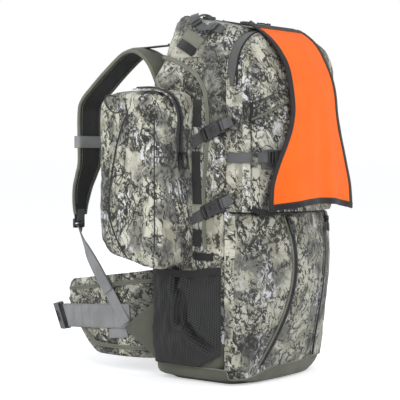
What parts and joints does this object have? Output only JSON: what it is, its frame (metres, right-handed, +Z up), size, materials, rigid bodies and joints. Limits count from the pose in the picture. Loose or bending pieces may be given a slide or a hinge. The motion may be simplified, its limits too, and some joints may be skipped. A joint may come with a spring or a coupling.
{
  "type": "hunting backpack",
  "caption": "Framed hunting pack with a safety flap over arched front pocket, side pouches, mesh pockets, padded shoulder straps and winged hip belt",
  "frame": {"origin": "centre of the flat bottom of the boot that the pack stands on", "axes": "+Z up, the outer face with the flap looks to -Y, the harness is on +Y, the wearer's left is -X"},
  "size_m": [0.53, 0.6165, 0.7234],
  "materials": {
    "camo_cloth": "woven nylon, printed camouflage",
    "olive_cloth": "coated nylon",
    "blaze_cloth": "bright woven polyester",
    "binding_tape": "woven tape",
    "pocket_mesh": "stretch mesh",
    "elastic_hem": "bound elastic",
    "spacer_mesh": "knitted spacer mesh",
    "grey_webbing": "woven nylon webbing",
    "zip_tape": "coil zip and its tape",
    "buckle_plastic": "moulded acetal",
    "sheet_plastic": "polyethylene sheet",
    "stay_aluminium": "flat bar, mill finish",
    "slider_metal": "black lacquered zinc",
    "pull_rubber": "moulded soft plastic"
  },
  "bodies": {
    "bag": {"adjuster_webs": "grey_webbing", "back_pads": "spacer_mesh", "base_boot": "olive_cloth", "compression_females": "buckle_plastic", "flap_anchor": "binding_tape", "frame_sheet": "sheet_plastic", "frame_stays": "stay_aluminium", "front_panel": "camo_cloth", "front_webbing": "grey_webbing", "ladder_locks": "buckle_plastic", "lid_panel": "camo_cloth", "lid_straps": "grey_webbing", "load_lifters": "grey_webbing", "lower_pocket": "camo_cloth", "lower_pocket_zips": "zip_tape", "lumbar_pad": "spacer_mesh", "mesh_hems": "elastic_hem", "mesh_pocket_left": "pocket_mesh", "mesh_pocket_right": "pocket_mesh", "sewn_tabs": "grey_webbing", "shoulder_pad_left": "olive_cloth", "shoulder_pad_right": "olive_cloth", "side_bands": "binding_tape", "side_panel_left": "camo_cloth", "side_panel_right": "camo_cloth", "side_pouch_left": "camo_cloth", "side_pouch_right": "camo_cloth", "side_webbing": "grey_webbing", "stabilizers": "olive_cloth", "upper_pocket": "camo_cloth", "upper_pocket_band": "binding_tape", "zip_tapes": "zip_tape"},
    "flap": {"blaze_flap": "blaze_cloth", "blaze_binding": "binding_tape"},
    "handle": {"grab_handle": "grey_webbing"},
    "clip_upper_left": {"side_male_upper_left": "buckle_plastic"},
    "clip_upper_right": {"side_male_upper_right": "buckle_plastic"},
    "clip_lower_left": {"side_male_lower_left": "buckle_plastic"},
    "clip_lower_right": {"side_male_lower_right": "buckle_plastic"},
    "clip_front": {"front_male": "buckle_plastic"},
    "sternum": {"sternum_loops": "grey_webbing", "sternum_webs": "grey_webbing", "sternum_female": "buckle_plastic"},
    "clip_sternum": {"sternum_male": "buckle_plastic"},
    "wing_left": {"hip_wing_left": "olive_cloth", "belt_web_left": "grey_webbing", "belt_female": "buckle_plastic"},
    "wing_right": {"hip_wing_right": "olive_cloth", "belt_web_right": "grey_webbing", "belt_male": "buckle_plastic"},
    "pouch_slider_left": {"pouch_slider_left": "slider_metal"},
    "pouch_slider_right": {"pouch_slider_right": "slider_metal"},
    "pouch_pull_left": {"pouch_pull_left": "pull_rubber"},
    "pouch_pull_right": {"pouch_pull_right": "pull_rubber"},
    "lower_slider_left": {"lower_slider_left": "slider_metal"},
    "lower_slider_right": {"lower_slider_right": "slider_metal"},
    "lower_pull_left": {"lower_pull_left": "pull_rubber"},
    "lower_pull_right": {"lower_pull_right": "pull_rubber"},
    "lid_slider": {"lid_slider": "slider_metal"}
  },
  "joints": [
    {"name": "flap_lift", "type": "hinge", "parent": "bag", "child": "flap", "pos_m": [0, -0.093, 0.683], "axis": [-1, 0, 0], "range_deg": [0, 110]},
    {"name": "handle_tilt", "type": "hinge", "parent": "bag", "child": "handle", "pos_m": [0, 0.078, 0.71288], "axis": [1, 0, 0], "range_deg": [-60, 60]},
    {"name": "upper_buckle_left", "type": "slide", "parent": "bag", "child": "clip_upper_left", "axis": [0, 0.9135, -0.4067], "range_m": [0, 0.018], "deforming": ["side_webbing"]},
    {"name": "upper_buckle_right", "type": "slide", "parent": "bag", "child": "clip_upper_right", "axis": [0, 0.9135, -0.4067], "range_m": [0, 0.018]},
    {"name": "lower_buckle_left", "type": "slide", "parent": "bag", "child": "clip_lower_left", "axis": [0, 0.9135, -0.4067], "range_m": [0, 0.018]},
    {"name": "lower_buckle_right", "type": "slide", "parent": "bag", "child": "clip_lower_right", "axis": [0, 0.9135, -0.4067], "range_m": [0, 0.018]},
    {"name": "front_buckle", "type": "slide", "parent": "bag", "child": "clip_front", "axis": [-0.9178, 0.397, 0], "range_m": [0, 0.018], "deforming": ["front_webbing"]},
    {"name": "sternum_height", "type": "slide", "parent": "bag", "child": "sternum", "axis": [0, 0, 1], "range_m": [-0.022, 0.022]},
    {"name": "sternum_buckle", "type": "slide", "parent": "sternum", "child": "clip_sternum", "axis": [0.7546, -0.6562, 0], "range_m": [0, 0.018], "deforming": ["sternum_webs"]},
    {"name": "hip_wing_left", "type": "hinge", "parent": "bag", "child": "wing_left", "pos_m": [-0.108, 0.1146, 0.118], "axis": [0, 0, 1], "range_deg": [-10, 28], "deforming": ["adjuster_webs", "stabilizers"]},
    {"name": "hip_wing_right", "type": "hinge", "parent": "bag", "child": "wing_right", "pos_m": [0.108, 0.1146, 0.118], "axis": [0, 0, -1], "range_deg": [-10, 28]},
    {"name": "pouch_zip_left", "type": "slide", "parent": "bag", "child": "pouch_slider_left", "axis": [0, 0, 1], "range_m": [0, 0.045]},
    {"name": "pouch_pull_left", "type": "hinge", "parent": "pouch_slider_left", "child": "pouch_pull_left", "pos_m": [-0.1983, -0.017, 0.4335], "axis": [-1, 0, 0], "range_deg": [0, 150]},
    {"name": "pouch_zip_right", "type": "slide", "parent": "bag", "child": "pouch_slider_right", "axis": [0, 0, 1], "range_m": [0, 0.045]},
    {"name": "pouch_pull_right", "type": "hinge", "parent": "pouch_slider_right", "child": "pouch_pull_right", "pos_m": [0.1983, -0.017, 0.4335], "axis": [-1, 0, 0], "range_deg": [0, 150]},
    {"name": "lower_zip_left", "type": "slide", "parent": "bag", "child": "lower_slider_left", "axis": [0.2194, -0.196, -0.9557], "range_m": [0, 0.04]},
    {"name": "lower_pull_left", "type": "hinge", "parent": "lower_slider_left", "child": "lower_pull_left", "pos_m": [-0.06486, -0.17291, 0.31151], "axis": [-0.919, 0.2873, -0.2699], "range_deg": [0, 150]},
    {"name": "lower_zip_right", "type": "slide", "parent": "bag", "child": "lower_slider_right", "axis": [-0.2194, -0.196, -0.9557], "range_m": [0, 0.04]},
    {"name": "lower_pull_right", "type": "hinge", "parent": "lower_slider_right", "child": "lower_pull_right", "pos_m": [0.06486, -0.17291, 0.31151], "axis": [-0.919, -0.2873, 0.2699], "range_deg": [0, 150]},
    {"name": "lid_zip", "type": "slide", "parent": "bag", "child": "lid_slider", "axis": [0, 0.9851, 0.1723], "range_m": [0, 0.08]}
  ]
}
